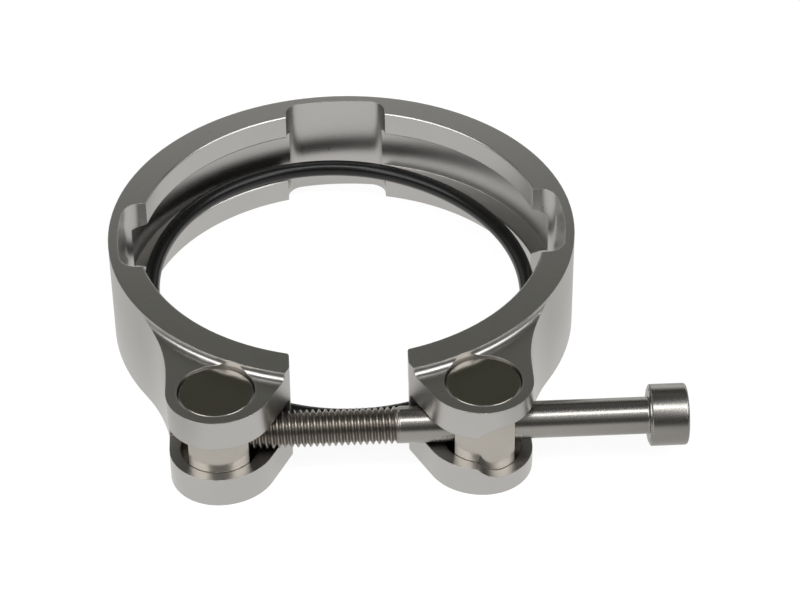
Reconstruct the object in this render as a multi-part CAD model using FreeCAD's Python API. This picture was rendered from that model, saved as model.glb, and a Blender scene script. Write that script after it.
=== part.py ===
import FreeCAD
import Part
import math
import os

# V band clamp for a coupling of about 69 mm bore: a one-piece machined ring with a V groove,
# split at the front, and drawn together by a cap screw through two trunnions in its lugs.
# Millimetres. The origin is on the ring's axis, half way up the ring.
# +Z is the ring's axis, -Y points at the split, and the screw lies along X, head at +X.

# ---- ring --------------------------------------------------------------------------------
lip_inner_r = 34.4        # plain bore of the two lips
ring_wall = 5.1           # thickness of the lips
ring_height = 18.35       # full height of the ring
lip_land = 4.4            # height of each lip's plain bore
groove_depth = 2.65       # from the lips' bore to the root of the V groove
groove_slope = 19.0       # slope of each flank of the V, degrees from the ring's faces
edge_chamfer = 0.2        # broken edges of the lips, at the ring's faces and at the groove's mouth

# ---- relief notches inside the ring ------------------------------------------------------
notch_width = 17.7        # width of a notch, across
notch_wall = 1.6          # wall that a notch leaves
notch_corner_r = 3.0      # cutter radius left in a notch's two corners
notch_angles = (0.0, 90.0, 180.0)

# ---- split and lugs ----------------------------------------------------------------------
split_gap = 19.0          # distance between the two end faces, clamp open
split_corner_r = 1.1      # rounded vertical edges of the end faces
pin_setback = 11.74       # from each end face to its trunnion's axis, along the screw
pin_stand = 0.9           # the trunnions' axes lie this much outside the ring's outer circle
ear_r = 8.05              # ear around its trunnion
ear_step = 1.2            # the ears' top lies this much below the ring's top
step_fillet_r = 1.0       # hollow cutter radius left at the foot of that step
outer_fillet_r = 30.0     # hollow curve from the ring's outside into the ear
inner_flank_angle = 27.0  # the ear's flank on the split side, from the Y axis
inner_flank_reach = 8.75  # and its distance from the trunnion's axis
ear_gap = 6.5             # open height between the upper and the lower ear

# ---- trunnions ---------------------------------------------------------------------------
trunnion_r = 6.22
trunnion_fit = 0.05       # radial running clearance in the ears' bores
trunnion_recess = 0.3     # the trunnion's ends lie this much inside the ears' faces
trunnion_chamfer = 0.4
trunnion_flats = 9.6      # across the two flats
flat_height = 10.6        # height of the flats

# ---- screw -------------------------------------------------------------------------------
screw_d = 6.0             # M6 x 1 socket head cap screw
screw_pitch = 1.0
screw_length = 70.0       # below the head
thread_length = 30.0
tip_chamfer = 0.3         # the tip is this much smaller all round than the thread's core
head_d = 10.0
head_height = 6.0
head_edge = 0.5           # rounded outer edge of the head
head_fillet_r = 0.25      # under the head
washer_face_inset = 0.5   # the raised bearing ring under the head is this much smaller all round
washer_face_height = 0.2
socket_flats = 5.0        # hexagon socket, across flats
socket_depth = 3.0
socket_point = 1.2        # drilled cone below the socket
socket_point_r = 0.2      # and the radius at its tip
head_gap = 21.8           # from the seat on the plain trunnion to the head, clamp open
clear_hole_d = 6.6        # through the plain trunnion
thread_fit = 0.04         # radial clearance of the thread in the threaded trunnion
relief_clearance = 0.25   # round the head, in the pocket that lets it reach its seat
pocket_overrun = 2.0      # the pocket's round end is struck from this much past the seat
ring_clearance = 0.4      # between the screw and the ring behind the ears

# ---- seal ring ---------------------------------------------------------------------------
cord_d = 2.8              # round rubber cord
seal_margin = 0.55        # from the groove's root, at the ends of its long axis
seal_oval = 3.15          # the loose ring lies slightly oval: long radius less short radius
seal_turn = 109.0         # direction of its long axis, degrees
seal_shift = (-0.65, -0.65)
seal_lift = 0.05          # above the groove's lower flank


# ---- derived -----------------------------------------------------------------------------
over = 2.0                # cutters reach this much past the faces that they cut
bite = 0.5                # what is fused on reaches this much into what carries it
V = FreeCAD.Vector
UP = V(0, 0, 1)
quarter = 1 - math.sqrt(0.5)                       # from a square corner to the middle of its round, in radii
top = ring_height / 2
bottom = -top
ear_top = top - ear_step
screw_z = (ear_top + bottom) / 2                   # the screw runs half way up the ears
ring_outer_r = lip_inner_r + ring_wall
groove_r = lip_inner_r + groove_depth
groove_open = top - lip_land                       # height where the flanks leave the lips
flank_fall = math.tan(math.radians(groove_slope))
groove_rise = groove_depth * flank_fall
groove_root = groove_open - groove_rise            # half height of the groove's root
notch_r = ring_outer_r - notch_wall
split_half = split_gap / 2
pin_half_span = split_half + pin_setback
pin_reach = ring_outer_r + pin_stand
seal_long_r = groove_r - cord_d / 2 - seal_margin
seal_short_r = seal_long_r - seal_oval
seat_x = pin_half_span + trunnion_flats / 2        # the head's seat on the plain trunnion
head_x = seat_x + head_gap
tip_x = head_x - screw_length
thread_start_x = tip_x + thread_length
minor_fall = 0.6134 * screw_pitch                  # depth of the thread's groove
pitch_r = screw_d / 2 - 0.3248 * screw_pitch
bore_r = trunnion_r + trunnion_fit
pocket_half = head_d / 2 + relief_clearance
slot_floor_y = -pin_reach + screw_d / 2 + ring_clearance
pocket_floor_y = -pin_reach + pocket_half
pocket_x = seat_x - pocket_overrun


def prism(edges, z0, z1):
    """Upright prism on a closed outline drawn at z = 0."""
    face = Part.Face(Part.Wire(Part.__sortEdges__(edges)))
    face.translate(V(0, 0, z0))
    return face.extrude(V(0, 0, z1 - z0))


def upright(shape, x, y):
    """The vertical edges of a shape that stand at (x, y)."""
    found = []
    for e in shape.Edges:
        a = e.Vertexes[0].Point
        b = e.Vertexes[-1].Point
        on_line = math.hypot(a.x - x, a.y - y) < 0.01 and math.hypot(b.x - x, b.y - y) < 0.01
        if on_line and abs(a.z - b.z) > 0.01:
            found.append(e)
    return found


# ---- clamp ring, one machined piece ------------------------------------------------------
def make_lug():
    """The right lug's outline, from the ring's middle line out round the trunnion."""
    centre = V(pin_half_span, -pin_reach, 0)
    # Outer flank: straight down at the ear's side, with a hollow arc tangent to it and the ring.
    flank_x = pin_half_span + ear_r
    arc_x = flank_x + outer_fillet_r
    arc_y = -math.sqrt((ring_outer_r + outer_fillet_r) ** 2 - arc_x ** 2)
    on_ring = V(arc_x, arc_y, 0) * (ring_outer_r / (ring_outer_r + outer_fillet_r))
    on_flank = V(flank_x, arc_y, 0)
    half = (math.pi + math.atan2(arc_y - on_ring.y, arc_x - on_ring.x) + math.pi) / 2
    arc_mid = V(arc_x + outer_fillet_r * math.cos(half), arc_y + outer_fillet_r * math.sin(half), 0)
    # Ear: its outer half is round about the trunnion, as far as its front point.
    side = V(flank_x, -pin_reach, 0)
    slant = math.radians(-45)
    ear_mid = centre + V(math.cos(slant), math.sin(slant), 0) * ear_r
    front = centre + V(0, -ear_r, 0)
    # Split side: a fuller arc from the front point into a straight flank.
    tilt = math.radians(inner_flank_angle)
    out = V(-math.cos(tilt), -math.sin(tilt), 0)
    lean = ear_r * math.sin(tilt)
    full_r = ear_r * (inner_flank_reach - lean) / (ear_r - lean)
    full_centre = front + V(0, full_r, 0)
    on_inner = full_centre + out * full_r
    turn = (1.5 * math.pi + math.pi + tilt) / 2
    full_mid = full_centre + V(math.cos(turn), math.sin(turn), 0) * full_r
    run = (on_inner.x - split_half) / math.sin(tilt)
    at_end = on_inner + V(-math.sin(tilt), math.cos(tilt), 0) * run
    # The outline closes inside the ring's own wall.
    mid_r = (groove_r + ring_outer_r) / 2
    inner_a = V(split_half, -math.sqrt(mid_r ** 2 - split_half ** 2), 0)
    inner_b = on_ring * (mid_r / ring_outer_r)
    turn_a = math.atan2(inner_a.y, inner_a.x)
    turn_b = math.atan2(inner_b.y, inner_b.x)
    inner_mid = V(math.cos((turn_a + turn_b) / 2), math.sin((turn_a + turn_b) / 2), 0) * mid_r
    edges = [
        Part.LineSegment(inner_b, on_ring).toShape(),
        Part.Arc(on_ring, arc_mid, on_flank).toShape(),
        Part.LineSegment(on_flank, side).toShape(),
        Part.Arc(side, ear_mid, front).toShape(),
        Part.Arc(front, full_mid, on_inner).toShape(),
        Part.LineSegment(on_inner, at_end).toShape(),
        Part.LineSegment(at_end, inner_a).toShape(),
        Part.Arc(inner_a, inner_mid, inner_b).toShape(),
    ]
    lug = prism(edges, bottom, ear_top)
    # The hollow fillet at the foot of the step, kept inside the lug's outline.
    r = step_fillet_r
    foot = V(ring_outer_r - bite, 0, ear_top - bite)
    toe = V(ring_outer_r + r, 0, ear_top - bite)
    rim = V(ring_outer_r + r, 0, ear_top)
    wall = V(ring_outer_r, 0, ear_top + r)
    head = V(ring_outer_r - bite, 0, ear_top + r)
    hollow = V(ring_outer_r + r * quarter, 0, ear_top + r * quarter)
    profile = [Part.LineSegment(foot, toe).toShape(), Part.LineSegment(toe, rim).toShape(),
               Part.Arc(rim, hollow, wall).toShape(), Part.LineSegment(wall, head).toShape(),
               Part.LineSegment(head, foot).toShape()]
    band = Part.Face(Part.Wire(profile)).revolve(V(0, 0, 0), UP, 360)
    return lug.fuse(band.common(prism(edges, bottom, top))), at_end, on_inner


def make_bore_profile():
    """What is turned out of the ring: two plain lips with a V groove between them."""
    c = edge_chamfer
    points = [
        V(0, 0, bottom - over),
        V(lip_inner_r + c + over, 0, bottom - over),
        V(lip_inner_r + c, 0, bottom),
        V(lip_inner_r, 0, bottom + c),
        V(lip_inner_r, 0, -groove_open - c),
        V(lip_inner_r + c, 0, -groove_open + c * flank_fall),
        V(groove_r, 0, -groove_root),
        V(groove_r, 0, groove_root),
        V(lip_inner_r + c, 0, groove_open - c * flank_fall),
        V(lip_inner_r, 0, groove_open + c),
        V(lip_inner_r, 0, top - c),
        V(lip_inner_r + c, 0, top),
        V(lip_inner_r + c + over, 0, top + over),
        V(0, 0, top + over),
    ]
    points.append(points[0])
    return Part.Face(Part.makePolygon(points)).revolve(V(0, 0, 0), UP, 360)


def make_notch(angle):
    """A cutter pocket right through both lips, with its floor round about the ring's axis."""
    half = notch_width / 2
    near = lip_inner_r / 2
    box = Part.makeBox(ring_outer_r, notch_width, ring_height + 2 * over, V(near, -half, bottom - over))
    disc = Part.makeCylinder(notch_r, ring_height + 2 * over, V(0, 0, bottom - over))
    cutter = box.common(disc)
    corner_x = math.sqrt(notch_r ** 2 - half ** 2)
    corners = upright(cutter, corner_x, half) + upright(cutter, corner_x, -half)
    cutter = cutter.makeFillet(notch_corner_r, corners)
    cutter.rotate(V(0, 0, 0), UP, angle)
    return cutter


def make_clamp_ring():
    ring = Part.makeCylinder(ring_outer_r, ring_height, V(0, 0, bottom))
    lug, end_corner, flank_end = make_lug()
    mirrored = lug.mirror(V(0, 0, 0), V(1, 0, 0))
    ring = ring.fuse(lug).fuse(mirrored)
    ring = ring.cut(Part.makeCylinder(lip_inner_r, ring_height, V(0, 0, bottom)))
    # The split: two end faces, and the ears' slanted flanks that run on through the ring's corner.
    right = [V(split_half, -lip_inner_r / 2, 0), end_corner, flank_end]
    left = [V(-p.x, p.y, 0) for p in reversed(right)]
    outline = right + left + right[:1]
    split = Part.Face(Part.makePolygon(outline)).extrude(UP * (ring_height + 2 * over))
    split.translate(UP * (bottom - over))
    ring = ring.cut(split).removeSplitter()
    ends = []
    inner_corner_y = -math.sqrt(lip_inner_r ** 2 - split_half ** 2)
    for side in (-1, 1):
        ends += upright(ring, side * split_half, inner_corner_y)
        ends += upright(ring, side * split_half, end_corner.y)
    ring = ring.makeFillet(split_corner_r, ends)
    ring = ring.cut(make_bore_profile())
    for angle in notch_angles:
        ring = ring.cut(make_notch(angle))
    # Open height between the ears, from flank to flank.
    width = 2 * (pin_half_span + ear_r + over)
    depth = pin_reach + ear_r + over + slot_floor_y
    slot = Part.makeBox(width, depth, ear_gap, V(-width / 2, slot_floor_y - depth, screw_z - ear_gap / 2))
    ring = ring.cut(slot)
    # Bores for the trunnions.
    for side in (-1, 1):
        bore = Part.makeCylinder(bore_r, ring_height + 2 * over, V(side * pin_half_span, -pin_reach, bottom - over))
        ring = ring.cut(bore)
    # Pocket that lets the screw's head reach the plain trunnion: a slot with a round inner end.
    across = pin_reach + ear_r + over + pocket_floor_y
    pocket_y = pocket_floor_y - across
    tail = pocket_overrun + ear_r + over
    pocket = Part.makeBox(tail, across, 2 * pocket_half, V(pocket_x, pocket_y, screw_z - pocket_half))
    end = Part.makeCylinder(pocket_half, across, V(pocket_x, pocket_y, screw_z), V(0, 1, 0))
    ring = ring.cut(pocket.fuse(end))
    return ring.removeSplitter()


# ---- trunnions ---------------------------------------------------------------------------
def make_trunnion(side, hole_r):
    """Cross pin with two flats square to the screw and a hole along it."""
    x = side * pin_half_span
    low = bottom + trunnion_recess
    high = ear_top - trunnion_recess
    pin = Part.makeCylinder(trunnion_r, high - low, V(x, -pin_reach, low))
    rims = [e for e in pin.Edges if isinstance(e.Curve, Part.Circle)]
    pin = pin.makeChamfer(trunnion_chamfer, rims)
    for way in (-1, 1):
        y0 = -pin_reach - trunnion_r - over
        x0 = x + way * trunnion_flats / 2 + (0 if way > 0 else -trunnion_r)
        flat = Part.makeBox(trunnion_r, 2 * (trunnion_r + over), flat_height, V(x0, y0, screw_z - flat_height / 2))
        pin = pin.cut(flat)
    start = V(x - trunnion_r - over, -pin_reach, screw_z)
    hole = Part.makeCylinder(hole_r, 2 * (trunnion_r + over), start, V(1, 0, 0))
    pin = pin.cut(hole)
    # Countersunk mouths of the hole.
    lead = screw_pitch / 2
    for way in (-1, 1):
        mouth = V(x + way * trunnion_flats / 2, -pin_reach, screw_z)
        cone = Part.makeCone(hole_r + lead, hole_r, lead, mouth, V(-way, 0, 0))
        pin = pin.cut(cone)
    return pin


# ---- cap screw ---------------------------------------------------------------------------
def make_cap_screw():
    """Turned profile about the screw's axis, with the thread as its pitch cylinder."""
    shank_r = screw_d / 2
    minor_r = shank_r - minor_fall
    lead = pitch_r - minor_r + tip_chamfer
    neck = shank_r - pitch_r
    face_x = head_x + washer_face_height
    end_x = face_x + head_height
    p = [
        V(tip_x, 0, 0),
        V(tip_x, minor_r - tip_chamfer, 0),
        V(tip_x + lead, pitch_r, 0),
        V(thread_start_x, pitch_r, 0),
        V(thread_start_x + neck, shank_r, 0),
        V(head_x - head_fillet_r, shank_r, 0),
        V(head_x, shank_r + head_fillet_r, 0),
        V(head_x, head_d / 2 - washer_face_inset, 0),
        V(face_x, head_d / 2 - washer_face_inset, 0),
        V(face_x, head_d / 2, 0),
        V(end_x - head_edge, head_d / 2, 0),
        V(end_x, head_d / 2 - head_edge, 0),
        V(end_x, 0, 0),
    ]
    edges = []
    for i in range(len(p)):
        a = p[i]
        b = p[(i + 1) % len(p)]
        if i == 10:
            mid = V(end_x - head_edge * quarter, head_d / 2 - head_edge * quarter, 0)
            edges.append(Part.Arc(a, mid, b).toShape())
        else:
            edges.append(Part.LineSegment(a, b).toShape())
    screw = Part.Face(Part.Wire(edges)).revolve(V(0, 0, 0), V(1, 0, 0), 360)
    # Hexagon socket with a drilled cone below it.
    corner = socket_flats / math.sqrt(3)
    ring = [V(end_x - socket_depth, corner * math.cos(math.radians(60 * k)),
              corner * math.sin(math.radians(60 * k))) for k in range(7)]
    hexagon = Part.Face(Part.makePolygon(ring)).extrude(V(socket_depth + over, 0, 0))
    point = Part.makeCone(socket_flats / 2, socket_point_r, socket_point, V(end_x - socket_depth, 0, 0), V(-1, 0, 0))
    screw = screw.cut(hexagon.fuse(point))
    screw.translate(V(0, -pin_reach, screw_z))
    return screw


# ---- seal ring ---------------------------------------------------------------------------
def make_o_ring():
    """Round cord lying loose on the groove's lower flank, slightly oval and off centre."""
    turn = math.radians(seal_turn)
    slope = math.radians(groove_slope)
    # It rests where it reaches furthest out on the flank.
    reach = seal_long_r + abs(seal_shift[0] * math.cos(turn) + seal_shift[1] * math.sin(turn))
    floor = -groove_open + (reach - lip_inner_r) * math.tan(slope)
    z = floor + (cord_d / 2 + seal_lift) / math.cos(slope)
    # The oval is four tangent quarter arcs: tighter ones at the ends, flatter ones at the sides.
    shift = (seal_long_r - seal_short_r) / (2 - math.sqrt(2))
    end_r = seal_long_r - shift
    side_r = seal_short_r + shift
    arcs = []
    for k in range(4):
        away = math.radians(90 * k)
        if k % 2 == 0:
            r = end_r
            centre = V(math.cos(away), math.sin(away), 0) * shift
        else:
            r = side_r
            centre = V(-math.cos(away), -math.sin(away), 0) * shift
        ends = []
        for step in (-45, 0, 45):
            angle = away + math.radians(step)
            ends.append(centre + V(math.cos(angle), math.sin(angle), 0) * r)
        arcs.append(Part.Arc(ends[0], ends[1], ends[2]).toShape())
    path = Part.Wire(arcs)
    start = path.Edges[0].Vertexes[0].Point
    along = path.Edges[0].tangentAt(path.Edges[0].FirstParameter)
    circle = Part.Circle(start, along, cord_d / 2)
    cord = path.makePipe(Part.Face(Part.Wire([circle.toShape()])))
    cord.rotate(V(0, 0, 0), UP, seal_turn)
    cord.translate(V(seal_shift[0], seal_shift[1], z))
    return cord


# ---- write the pieces --------------------------------------------------------------------
pieces = {
    "clamp_ring": make_clamp_ring(),
    "o_ring": make_o_ring(),
    "threaded_trunnion": make_trunnion(-1, pitch_r + thread_fit),
    "plain_trunnion": make_trunnion(1, clear_hole_d / 2),
    "cap_screw": make_cap_screw(),
}
os.makedirs("parts", exist_ok=True)
for name, shape in pieces.items():
    if len(shape.Solids) == 1:
        shape = shape.Solids[0]
    box = shape.BoundBox
    print(name, "solids", len(shape.Solids), "valid", shape.isValid(), "volume", round(shape.Volume, 1),
          "size", round(box.XLength, 2), round(box.YLength, 2), round(box.ZLength, 2))
    shape.exportStep("parts/" + name + ".step")
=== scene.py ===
import bpy
import math
from mathutils import Matrix, Vector


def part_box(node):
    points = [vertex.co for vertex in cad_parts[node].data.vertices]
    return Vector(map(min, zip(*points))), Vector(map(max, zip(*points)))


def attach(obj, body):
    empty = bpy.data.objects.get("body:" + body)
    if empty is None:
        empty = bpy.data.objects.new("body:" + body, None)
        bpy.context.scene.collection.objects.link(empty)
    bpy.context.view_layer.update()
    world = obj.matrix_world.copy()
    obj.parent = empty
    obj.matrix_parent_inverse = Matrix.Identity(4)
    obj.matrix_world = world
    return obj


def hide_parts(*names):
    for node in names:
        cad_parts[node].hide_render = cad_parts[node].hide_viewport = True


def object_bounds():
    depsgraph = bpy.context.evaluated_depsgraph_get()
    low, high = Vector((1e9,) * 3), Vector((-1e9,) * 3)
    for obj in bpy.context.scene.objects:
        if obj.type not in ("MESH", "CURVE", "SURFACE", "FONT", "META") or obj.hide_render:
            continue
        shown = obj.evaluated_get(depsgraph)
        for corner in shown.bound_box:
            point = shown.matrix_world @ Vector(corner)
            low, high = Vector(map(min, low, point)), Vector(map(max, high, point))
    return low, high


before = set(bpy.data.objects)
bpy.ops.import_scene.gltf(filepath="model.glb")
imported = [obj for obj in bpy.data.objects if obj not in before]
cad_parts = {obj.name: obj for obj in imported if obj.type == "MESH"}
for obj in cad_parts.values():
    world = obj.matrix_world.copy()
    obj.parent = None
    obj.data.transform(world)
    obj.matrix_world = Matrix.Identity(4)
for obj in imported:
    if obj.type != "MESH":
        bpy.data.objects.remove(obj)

cad_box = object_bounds()


# ---- Clamp ring -------------------------------------------------------------------------
# One piece of aluminium alloy, turned for the bore and the V groove, then milled for the
# notches, the split and the ears. It is lightly satin blasted, so faint tool marks remain.

class Socket:
    """An output of a shader tree. Sums on it add Math nodes to the same tree."""

    def __init__(self, finish, socket):
        self.finish = finish
        self.socket = socket

    def math(self, operation, first, second):
        return self.finish.node("ShaderNodeMath", {"operation": operation}, {0: first, 1: second})

    def __add__(self, other):
        return self.math("ADD", self, other)

    def __radd__(self, other):
        return self.math("ADD", other, self)

    def __sub__(self, other):
        return self.math("SUBTRACT", self, other)

    def __rsub__(self, other):
        return self.math("SUBTRACT", other, self)

    def __mul__(self, other):
        return self.math("MULTIPLY", self, other)

    def __pow__(self, other):
        return self.math("POWER", self, other)


class Finish:
    """The node tree of one material or of the studio's surroundings."""

    def __init__(self, owner):
        owner.use_nodes = True
        self.owner = owner
        self.tree = owner.node_tree
        self.tree.nodes.clear()

    def node(self, kind, settings=None, inputs=None, out=0):
        made = self.tree.nodes.new(kind)
        for name, value in (settings or {}).items():
            if name == "stops":
                ramp = made.color_ramp
                while len(ramp.elements) < len(value):
                    ramp.elements.new(0.5)
                for element, (place, colour) in zip(ramp.elements, value):
                    element.position = place
                    shade = colour if isinstance(colour, tuple) else (colour, colour, colour)
                    element.color = (*shade, 1.0)
            else:
                setattr(made, name, value)
        for name, value in (inputs or {}).items():
            socket = made.inputs[name]
            if isinstance(value, Socket):
                self.tree.links.new(value.socket, socket)
            else:
                socket.default_value = value
        return Socket(self, made.outputs[out])

    def place(self):
        """Position on the part, in metres."""
        return self.node("ShaderNodeTexCoord", out="Object")

    def parts(self, vector):
        split = self.node("ShaderNodeSeparateXYZ", inputs={0: vector})
        outs = split.socket.node.outputs
        return [Socket(self, outs[i]) for i in range(3)]

    def stretched(self, vector, sx, sy, sz):
        return self.node("ShaderNodeMapping", inputs={"Vector": vector, "Scale": (sx, sy, sz)})

    def noise(self, vector, scale, detail=3.0, roughness=0.5):
        return self.node("ShaderNodeTexNoise", inputs={"Vector": vector, "Scale": scale,
                                                       "Detail": detail, "Roughness": roughness})

    def ramp(self, value, *stops):
        return self.node("ShaderNodeValToRGB", {"stops": stops}, {0: value})

    def mix(self, factor, first, second):
        return self.node("ShaderNodeMix", {"data_type": "RGBA"}, {0: factor, 6: first, 7: second}, out=2)

    def absolute(self, value):
        return self.node("ShaderNodeMath", {"operation": "ABSOLUTE"}, {0: value})

    def sine(self, value):
        return self.node("ShaderNodeMath", {"operation": "SINE"}, {0: value})

    def level(self):
        """1 on faces that lie level, 0 on walls."""
        upward = self.parts(self.node("ShaderNodeNewGeometry", out="Normal"))[2]
        return self.ramp(self.absolute(upward), (0.90, 0.0), (0.97, 1.0))

    def bump(self, height, strength, depth, edge_radius=None):
        """A bumped normal, with its edges rounded where a radius is given."""
        inputs = {"Strength": strength, "Distance": depth, "Height": height}
        if edge_radius:
            inputs["Normal"] = self.node("ShaderNodeBevel", {"samples": 6}, {"Radius": edge_radius})
        return self.node("ShaderNodeBump", inputs=inputs)

    def surface(self, colour, roughness, normal, **fixed):
        inputs = {"Base Color": colour, "Roughness": roughness, "Normal": normal}
        inputs.update({name.replace("_", " "): value for name, value in fixed.items()})
        shader = self.node("ShaderNodeBsdfPrincipled", inputs=inputs)
        self.finish(shader)
        return self.owner

    def finish(self, shader, kind="ShaderNodeOutputMaterial"):
        made = self.tree.nodes.new(kind)
        self.tree.links.new(shader.socket, made.inputs["Surface"])


tool_marks = 26000.0            # turning marks, in radians a metre
mark_depth = 0.00002


def aluminium():
    f = Finish(bpy.data.materials.new("satin_aluminium"))
    place = f.place()
    x, y = f.parts(place)[:2]
    radius = (x * x + y * y) ** 0.5
    flat = f.level()
    # Turning marks run round the flat faces, and cutter marks stand upright on the walls.
    turned = f.sine(radius * tool_marks)
    milled = f.noise(f.stretched(place, 1.0, 1.0, 0.04), 3200.0, 2.0)
    grain = f.noise(place, 5200.0, 2.0, 0.6)
    cloud = f.noise(place, 70.0, 3.0)
    height = flat * turned * 0.22 + (1 - flat) * milled * 0.6 + grain * 0.6
    # Handling marks: a few fine scratches and specks.
    scratch = f.noise(f.stretched(place, 1.0, 9.0, 2.0), 420.0, 2.0, 0.7)
    mark = f.ramp(scratch, (0.70, 0.0), (0.74, 1.0))
    tone = f.mix(cloud, (0.455, 0.445, 0.432, 1.0), (0.420, 0.412, 0.400, 1.0))
    colour = f.mix(mark * 0.20, tone, (0.30, 0.30, 0.29, 1.0))
    roughness = 0.25 + cloud * 0.06 + grain * 0.06 - mark * 0.05
    return f.surface(colour, roughness, f.bump(height, 0.14, mark_depth, 0.00018), Metallic=1.0)


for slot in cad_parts["clamp_ring"].material_slots:
    slot.material = aluminium()


# ---- Seal ring --------------------------------------------------------------------------
# A loose O-ring moulded in black rubber. It lies on the groove's lower flank, a little oval,
# and the mould leaves it smooth with a faint sheen and a dusting of lint.

def rubber():
    f = Finish(bpy.data.materials.new("black_rubber"))
    place = f.place()
    grain = f.noise(place, 2600.0, 3.0, 0.6)
    dust = f.ramp(f.noise(place, 900.0, 4.0, 0.7), (0.60, 0.0), (0.75, 1.0))
    bloom = f.noise(place, 120.0, 2.0)
    colour = f.mix(dust * 0.25, (0.0045, 0.0045, 0.0045, 1.0), (0.03, 0.029, 0.027, 1.0))
    roughness = 0.24 + bloom * 0.08 + dust * 0.20
    skin = f.bump(grain, 0.12, 0.00003)
    return f.surface(colour, roughness, skin, Metallic=0.0, Specular_IOR_Level=0.35)


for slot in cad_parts["o_ring"].material_slots:
    slot.material = rubber()


# ---- Trunnions --------------------------------------------------------------------------
# Two turned steel cross pins that pivot in the ears. Their ends are faced, their flats are
# milled square to the screw, and the left one is tapped.

facing_marks = 42000.0          # marks on the faced ends, in radians a metre


def turned_steel(name, centre_x, centre_y):
    f = Finish(bpy.data.materials.new(name))
    place = f.place()
    x, y = f.parts(place)[:2]
    end = f.level()
    from_axis = ((x - centre_x) ** 2.0 + (y - centre_y) ** 2.0) ** 0.5
    rings = f.sine(from_axis * facing_marks)
    around = f.noise(f.stretched(place, 0.05, 0.05, 1.0), 5200.0, 2.0)
    cloud = f.noise(place, 160.0, 3.0)
    height = end * rings * 0.25 + (1 - end) * around * 0.8
    colour = f.mix(cloud, (0.44, 0.415, 0.375, 1.0), (0.37, 0.35, 0.315, 1.0))
    roughness = 0.13 + cloud * 0.07 + end * 0.04
    return f.surface(colour, roughness, f.bump(height, 0.10, mark_depth, 0.0001), Metallic=1.0)


for node in ("threaded_trunnion", "plain_trunnion"):
    low, high = (Vector(corner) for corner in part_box(node))
    middle = (low + high) / 2
    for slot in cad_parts[node].material_slots:
        slot.material = turned_steel(node + "_steel", middle.x, middle.y)


# ---- Cap screw --------------------------------------------------------------------------
# A stainless M6 x 1 socket head cap screw: forged head with a hexagon socket, drawn shank,
# and 30 mm of rolled thread that ends in a chamfered tip inside the left trunnion.

screw_low, screw_high = (Vector(corner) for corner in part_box("cap_screw"))
axis_y = (screw_low.y + screw_high.y) / 2
axis_z = (screw_low.z + screw_high.z) / 2
tip_x = screw_low.x
end_x = screw_high.x
head_r = (screw_high.z - screw_low.z) / 2
head_height = 0.0062
shank_r = 0.0030
pitch = 0.0010
thread_length = 0.0300
thread_depth = 0.58 * pitch
socket_r = 0.0025
socket_depth = 0.0030
fillet_r = 0.00035              # under the head
head_edge = 0.0005
face_height = 0.0002            # washer face
run_out_length = 0.0004
around = 72                     # points round the screw
tau = 2 * math.pi


def on_screw(x, r, angle):
    return (x, axis_y + r * math.cos(angle), axis_z + r * math.sin(angle))


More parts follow.
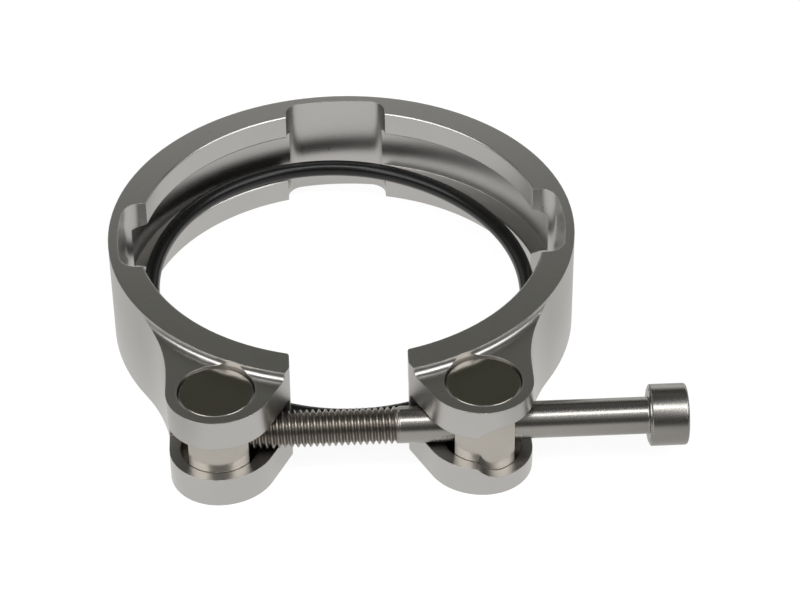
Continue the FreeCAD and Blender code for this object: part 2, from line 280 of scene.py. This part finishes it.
def screw_mesh():
    points = []
    faces = []

    def ring(x, radius_at):
        start = len(points)
        for i in range(around):
            angle = tau * i / around
            points.append(on_screw(x, radius_at(angle), angle))
        return start

    def skin(a, b):
        for i in range(around):
            j = (i + 1) % around
            faces.append((a + i, a + j, b + j, b + i))

    # Head and shank, as turned rings from the thread's run-out to the end of the head.
    face_x = end_x - head_height
    profile = [(tip_x + thread_length + run_out_length, shank_r)]
    profile += [(face_x - fillet_r, shank_r)]
    profile += [(face_x - fillet_r + fillet_r * math.sin(math.radians(a)),
                 shank_r + fillet_r * (1 - math.cos(math.radians(a)))) for a in (30, 60, 90)]
    profile += [(face_x, head_r - 0.0006)]
    profile += [(face_x + face_height, head_r - 0.0005), (face_x + face_height, head_r - 0.00015)]
    profile += [(face_x + 0.00035, head_r)]
    profile += [(end_x - head_edge + head_edge * math.sin(math.radians(a)),
                 head_r - head_edge * (1 - math.cos(math.radians(a)))) for a in (0, 20, 40, 60, 80)]
    profile += [(end_x, head_r - head_edge), (end_x, socket_r * 1.28)]
    last = None
    for x, r in profile:
        now = ring(x, lambda angle, r=r: r)
        if last is not None:
            skin(last, now)
        last = now

    # The hexagon socket: a chamfered mouth, six flats and a drilled point.
    def hexagon(scale):
        def radius_at(angle):
            side = (angle % (tau / 6)) - tau / 12
            return socket_r * scale / math.cos(side)
        return radius_at

    for x, radius_at in ((end_x, hexagon(1.05)), (end_x - 0.00018, hexagon(1.0)),
                         (end_x - socket_depth, hexagon(1.0)),
                         (end_x - socket_depth - 0.0001, lambda angle: socket_r * 0.93),
                         (end_x - socket_depth - 0.0012, lambda angle: 0.00012)):
        now = ring(x, radius_at)
        skin(last, now)
        last = now
    faces.append(tuple(last + i for i in range(around)))

    # The rolled thread: rows that follow the helix, a few to each turn's profile.
    shape = [(0.00, 1.0), (0.09, 1.0), (0.26, 0.5), (0.42, 0.06),
             (0.50, 0.0), (0.58, 0.06), (0.74, 0.5), (0.91, 1.0)]
    turns = int(round(thread_length / pitch)) + 2
    run_out = tip_x + thread_length
    core = shank_r - thread_depth
    rows = []
    for turn in range(-1, turns):
        for along, height in shape:
            row = []
            for i in range(around):
                x = tip_x + pitch * (turn + along + i / around)
                r = core + thread_depth * height
                # The groove fades out into the shank, and the tip is chamfered.
                fade = min(max((x - (run_out - 1.5 * pitch)) / (1.5 * pitch), 0.0), 1.0)
                r = r + (shank_r - r) * fade * fade
                r = min(r, core - 0.0002 + max(x - tip_x, 0.0))
                x = min(max(x, tip_x), run_out + run_out_length)
                row.append(len(points))
                points.append(on_screw(x, r, tau * i / around))
            rows.append(row)
    per_turn = len(shape)
    for k in range(len(rows) - 1):
        for i in range(around - 1):
            faces.append((rows[k][i], rows[k][i + 1], rows[k + 1][i + 1], rows[k + 1][i]))
        if k + 1 + per_turn < len(rows):
            faces.append((rows[k][-1], rows[k + per_turn][0], rows[k + per_turn + 1][0], rows[k + 1][-1]))
    cap = ring(tip_x, lambda angle: core - 0.0002)
    faces.append(tuple(cap + i for i in reversed(range(around))))

    mesh = bpy.data.meshes.new("cap_screw_detail")
    mesh.from_pydata(points, [], faces)
    mesh.validate()
    return mesh


def stainless():
    f = Finish(bpy.data.materials.new("bright_stainless"))
    place = f.place()
    # Drawing lines run along the shank, and a fine forged grain covers the head.
    drawn = f.noise(f.stretched(place, 0.02, 1.0, 1.0), 5200.0, 3.0)
    grain = f.noise(place, 3800.0, 2.0, 0.6)
    cloud = f.noise(f.stretched(place, 0.2, 1.0, 1.0), 260.0, 3.0)
    # The rolled thread is duller and browner than the shank.
    rolled = f.ramp((tip_x + thread_length - f.parts(place)[0]) * 1000.0, (0.0, 0.0), (0.6, 1.0))
    bright = f.mix(cloud, (0.33, 0.32, 0.30, 1.0), (0.26, 0.25, 0.235, 1.0))
    colour = f.mix(rolled, bright, (0.275, 0.255, 0.228, 1.0))
    roughness = 0.17 + cloud * 0.10 + grain * 0.10 + rolled * 0.05
    height = drawn * 0.7 + grain * 0.3
    return f.surface(colour, roughness, f.bump(height, 0.12, mark_depth, 0.00006), Metallic=1.0)


screw = bpy.data.objects.new("cap_screw_detail", screw_mesh())
bpy.context.scene.collection.objects.link(screw)
screw.data.materials.append(stainless())
weld = screw.modifiers.new("weld", "WELD")
weld.merge_threshold = 0.000004
for polygon in screw.data.polygons:
    polygon.use_smooth = True
soft = screw.modifiers.new("edges", "EDGE_SPLIT")
soft.split_angle = math.radians(32)
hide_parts("cap_screw")
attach(screw, "screw")


# ---- Studio -----------------------------------------------------------------------------
# A pale table under soft light: evenly white to the camera, while in reflections it carries a painted
# pool of light and painted shade. The room above is dim between the lamps, so faces that look up read
# darker than the walls, which see the table.

floor_z = cad_box[0][2] - 0.0001
floor_mesh = bpy.data.meshes.new("table")
half = 3.0
floor_corners = [(x * half, y * half, floor_z) for x, y in ((-1, -1), (1, -1), (1, 1), (-1, 1))]
floor_mesh.from_pydata(floor_corners, [], [(0, 1, 2, 3)])
table = bpy.data.objects.new("table", floor_mesh)
bpy.context.scene.collection.objects.link(table)
f = Finish(bpy.data.materials.new("table_white"))
paths = {out.name: Socket(f, out) for out in f.node("ShaderNodeLightPath").socket.node.outputs}
seen = paths["Is Camera Ray"] + paths["Is Glossy Ray"] + paths["Is Transmission Ray"]
# In reflections the table shows a painted pool of light, brightest in front of the part and falling off
# far away, with painted shade to its sides. The camera sees it evenly white.
x, y = f.parts(f.place())[:2]
painted_shade_beside = f.ramp(f.absolute(x) * 10.0, (0.32, 1.0), (0.46, 0.76))
painted_pool_by_reach = f.ramp((x * x + y * y) ** 0.5 * 2.0, (0.16, (1.02, 1.01, 0.99)), (0.50, 0.30))
painted_light_pool = f.mix(painted_shade_beside, (0.0, 0.0, 0.0, 1.0), painted_pool_by_reach)
matt = f.node("ShaderNodeBsdfDiffuse", inputs={"Color": (0.86, 0.86, 0.86, 1.0)})
white_and_painted_pool = f.mix(paths["Is Camera Ray"], painted_light_pool, (1.08, 1.08, 1.08, 1.0))
glow = f.node("ShaderNodeEmission", inputs={"Color": white_and_painted_pool})
f.finish(f.node("ShaderNodeMixShader", inputs={0: seen * 0.86, 1: matt, 2: glow}))
table.data.materials.append(f.owner)

world = bpy.data.worlds.new("studio")
bpy.context.scene.world = world
f = Finish(world)
back, up = f.parts(f.node("ShaderNodeTexCoord", out="Generated"))[1:]
# Behind the part a low pale wall ends in a dim ceiling. In front the room brightens upwards.
behind = f.ramp(up, (0.0, 0.30), (0.30, 0.30), (0.45, (0.036, 0.037, 0.026)),
                (0.72, (0.030, 0.031, 0.022)), (0.84, 0.10), (0.93, 0.06), (1.0, 0.030))
front = f.ramp(up, (0.0, 0.05), (0.40, (0.040, 0.040, 0.034)), (0.62, 0.15), (0.75, 0.28),
               (0.88, 0.34), (0.95, 0.40), (0.985, 0.07), (1.0, 0.030))
side = f.ramp(back * 0.5 + 0.5, (0.44, 0.0), (0.56, 1.0))
seen = f.node("ShaderNodeLightPath", out="Is Camera Ray")
colour = f.mix(seen, f.mix(side, front, behind), (0.5, 0.5, 0.5, 1.0))
room = f.node("ShaderNodeBackground", inputs={"Color": colour, "Strength": 2.0})
f.finish(room, "ShaderNodeOutputWorld")


def lamp(name, azimuth, elevation, distance, size, power):
    """A soft box that faces the part from a compass direction and height."""
    light = bpy.data.lights.new(name, "AREA")
    light.shape = "RECTANGLE"
    light.size = size[0]
    light.size_y = size[1]
    light.energy = power
    a = math.radians(azimuth)
    e = math.radians(elevation)
    away = Vector((math.sin(a) * math.cos(e), -math.cos(a) * math.cos(e), math.sin(e)))
    holder = bpy.data.objects.new(name, light)
    holder.location = away * distance
    holder.rotation_euler = away.to_track_quat("Z", "Y").to_euler()
    bpy.context.scene.collection.objects.link(holder)


# A key light above the front, a soft box at each side, and a low pale sheet behind the ring.
lamp("key", 0, 66, 1.1, (1.2, 0.20), 5.0)
lamp("left", -62, 40, 1.1, (0.9, 0.5), 4.4)
lamp("right", 62, 40, 1.1, (0.9, 0.5), 4.4)
lamp("sweep", 180, 17, 0.275, (0.6, 0.17), 0.17)


# ---- Camera -----------------------------------------------------------------------------
# A long lens in front of the split, looking down at about 39 degrees.

eye = Vector((-0.00624, -0.38312, 0.29584))
aim = Vector((0.00942, -0.00911, 0.00017))
roll = math.radians(-0.669)
ahead = (aim - eye).normalized()
level = ahead.cross(Vector((0, 0, 1))).normalized()
upward = level.cross(ahead)
right = level * math.cos(roll) + upward * math.sin(roll)
over = upward * math.cos(roll) - level * math.sin(roll)
camera_data = bpy.data.cameras.new("camera")
camera_data.sensor_width = 36.0
camera_data.lens = 126.96
camera_data.clip_start = 0.01
camera = bpy.data.objects.new("camera", camera_data)
bpy.context.scene.collection.objects.link(camera)
camera.matrix_world = Matrix.Translation(eye) @ Matrix((right, over, -ahead)).transposed().to_4x4()
bpy.context.scene.camera = camera
bpy.context.scene.view_settings.view_transform = "Standard"
